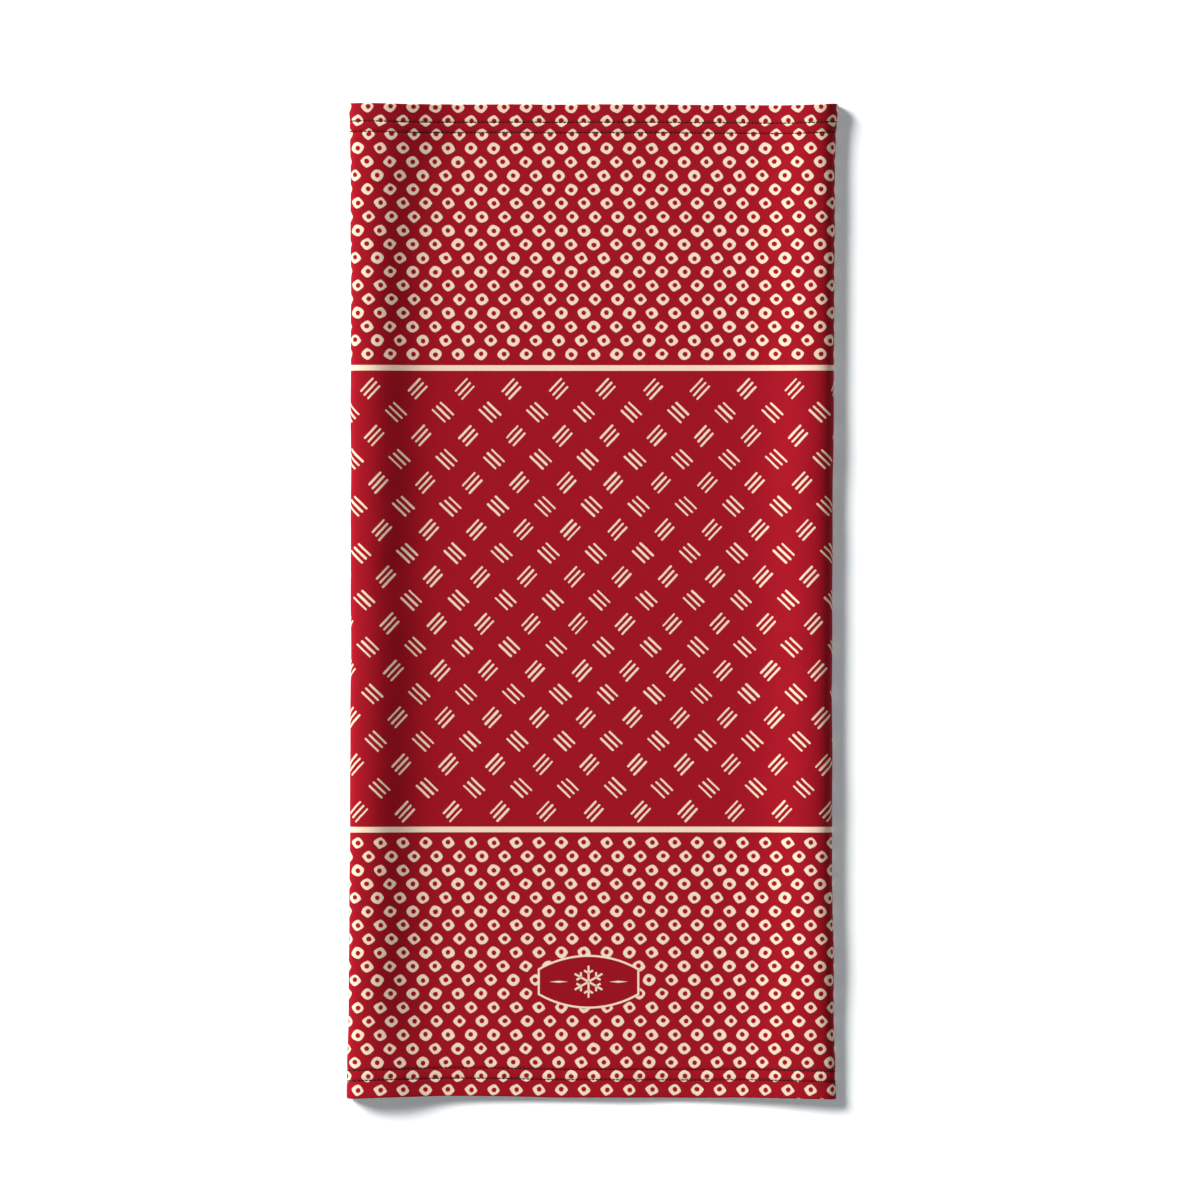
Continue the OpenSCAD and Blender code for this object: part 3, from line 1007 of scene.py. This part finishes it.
def badge_bands():
    """Every shape of the badge as a pair of lines, whose space between is ink."""
    outer = label_outline(BADGE_HALF_W, BADGE_HALF_H, BADGE_R)
    inner = label_outline(BADGE_HALF_W - BADGE_LINE, BADGE_HALF_H - BADGE_LINE, BADGE_R - BADGE_LINE)
    closed = [np.concatenate([line, line[:1]]) for line in (outer, inner)]
    bands = [closed]
    for arm in range(6):
        angle = math.radians(60 * arm + 30)
        direction = np.array([math.cos(angle), math.sin(angle)])
        bands.append(bar_outline((0, 0), angle, CRYSTAL_ARM, BADGE_LINE))
        for turn in (-60, 60):
            bands.append(bar_outline(direction * BRANCH_AT, angle + math.radians(turn), BRANCH_L, BADGE_LINE))
    for side in (-1, 1):
        t = np.linspace(0, 1, 9)
        x = side * (CRYSTAL_ARM + SPINDLE_GAP + SPINDLE_L * t)
        y = 0.5 * BADGE_LINE * (1 - np.abs(2 * t - 1)) + SPINDLE_TIP
        lines = np.stack([x, -y], -1), np.stack([x, y], -1)
        bands.append(lines if side > 0 else lines[::-1])
    return bands


def badge_half(strip, lies_right, material):
    """The ink that lies on one strip of cloth: small blocks that follow the cloth's face."""
    points, faces, first = [], [], 0
    for a, b in badge_bands():
        middles = BADGE_X + (a[:-1, 0] + a[1:, 0] + b[:-1, 0] + b[1:, 0]) / 4
        on_strip = (middles >= 0) == lies_right
        if np.all(np.abs(np.concatenate([a, b])[:, 0]) <= CRYSTAL_ARM + 1):
            on_strip = np.full(len(middles), not lies_right)   # the crystal lies on the left strip, whole
        runs = np.flatnonzero(on_strip)
        if len(runs) == 0:
            continue
        for chunk in np.split(runs, np.flatnonzero(np.diff(runs) > 1) + 1):
            flat_a, flat_b = a[chunk[0]:chunk[-1] + 2], b[chunk[0]:chunk[-1] + 2]
            n = len(flat_a)
            corners = []
            for flat, height in ((flat_a, 0.0), (flat_b, 0.0), (flat_b, BADGE_T), (flat_a, BADGE_T)):
                s, y = flat[:, 0] + BADGE_X, flat[:, 1] + BADGE_Y
                y = y - end_shift(s, y)
                corners.append(outer_face(s, y) + outward(s, y) * height)
            points.append(np.stack(corners, 1).reshape(-1, 3))
            quads = [[first + i * 4 + k, first + i * 4 + (k + 1) % 4,
                      first + (i + 1) * 4 + (k + 1) % 4, first + (i + 1) * 4 + k]
                     for i in range(n - 1) for k in range(4)]
            quads += [[first + k for k in (3, 2, 1, 0)], [first + (n - 1) * 4 + k for k in range(4)]]
            faces += quads
            first += 4 * n
    points = np.concatenate(points)
    uvs = [tuple(points[i][:2]) for face in faces for i in face]
    name = "badge_ink_" + ("right" if lies_right else "left")
    piece = make_piece(name, points, faces, None, uvs, [material])
    piece.data.polygons.foreach_set("use_smooth", np.zeros(len(faces), bool))
    strip.carry(piece, "badge_film", [] if lies_right else ["badge_print"])


def add_badge():
    material = badge_ink()
    named = {strip.name: strip for strip in STRIPS}
    badge_half(named["front_left_middle"], False, material)
    badge_half(named["front_right_middle"], True, material)


# ---- studio

CAMERA_X, CAMERA_Y = 3.5, 0.75
VIEW_W = 603.0
LENS, SENSOR = 450.0, 36.0
KEY_ELEVATION, KEY_TURN = 34.5, 32.0   # the key light stands to the left, turned towards the top
KEY_DISTANCE, KEY_SIZE, KEY_POWER = 9.0, 3.5, 1510.0
AMBIENT = 0.06
FLOOR_HALF = 11.5                      # the floor, wall and light are in metres
FLOOR_COLOUR, FLOOR_GLOW_COLOUR, FLOOR_GLOW = (0.98, 0.98, 0.98), (0.8, 0.95, 1), 0.225
WALL_R, WALL_H, WALL_SIDES = 11.0, 1.7, 64
WALL_COLOUR, WALL_GLOW = (0.9, 0.9, 0.9), 0.65


def add_stage(name, points, faces, colour, glow_colour, glow):
    """A matte surface of the studio, which also glows a little."""
    material, _, shader = new_material(name, 0.9, 0.0)
    shader.inputs["Base Color"].default_value = (*colour, 1)
    shader.inputs["Emission Color"].default_value = (*glow_colour, 1)
    shader.inputs["Emission Strength"].default_value = glow
    mesh = bpy.data.meshes.new(name)
    mesh.from_pydata(points, [], faces)
    mesh.materials.append(material)
    surface = bpy.data.objects.new(name, mesh)
    bpy.context.scene.collection.objects.link(surface)


def add_floor():
    corners = [(x * FLOOR_HALF, y * FLOOR_HALF, 0) for x, y in ((-1, -1), (1, -1), (1, 1), (-1, 1))]
    add_stage("floor", corners, [(0, 1, 2, 3)], FLOOR_COLOUR, FLOOR_GLOW_COLOUR, FLOOR_GLOW)


def add_wall():
    """A pale glowing wall all round, so that low views end in a plain background."""
    turn = np.arange(WALL_SIDES) * 2 * np.pi / WALL_SIDES
    ring = np.stack([WALL_R * np.cos(turn), WALL_R * np.sin(turn)], -1)
    points = [(x, y, z) for z in (0.0, WALL_H) for x, y in ring]
    ahead = [(i + 1) % WALL_SIDES for i in range(WALL_SIDES)]
    faces = [(i, i + WALL_SIDES, j + WALL_SIDES, j) for i, j in enumerate(ahead)]
    add_stage("studio_wall", points, faces, WALL_COLOUR, WALL_COLOUR, WALL_GLOW)


def add_lights():
    scene = bpy.context.scene
    world = bpy.data.worlds.new("studio")
    world.use_nodes = True
    background = world.node_tree.nodes["Background"]
    background.inputs["Color"].default_value = (1, 1, 1, 1)
    background.inputs["Strength"].default_value = AMBIENT
    scene.world = world
    data = bpy.data.lights.new("key", "AREA")
    data.shape = "SQUARE"
    data.size, data.energy = KEY_SIZE, KEY_POWER
    key = bpy.data.objects.new("key", data)
    up, turn = math.radians(KEY_ELEVATION), math.radians(180 - KEY_TURN)
    key.location = (KEY_DISTANCE * math.cos(up) * math.cos(turn),
                    KEY_DISTANCE * math.cos(up) * math.sin(turn),
                    KEY_DISTANCE * math.sin(up))
    key.rotation_euler = (math.pi / 2 - up, 0, turn + math.pi / 2)
    scene.collection.objects.link(key)


def add_camera():
    scene = bpy.context.scene
    data = bpy.data.cameras.new("camera")
    data.lens, data.sensor_width = LENS, SENSOR
    camera = bpy.data.objects.new("camera", data)
    camera.location = (CAMERA_X * MM, CAMERA_Y * MM, VIEW_W * MM * LENS / SENSOR)
    scene.collection.objects.link(camera)
    scene.camera = camera
    scene.view_settings.view_transform = "Standard"


add_floor()
add_wall()
add_lights()
add_camera()
add_cloth()
add_hem_threads()
back_seam()
add_badge()
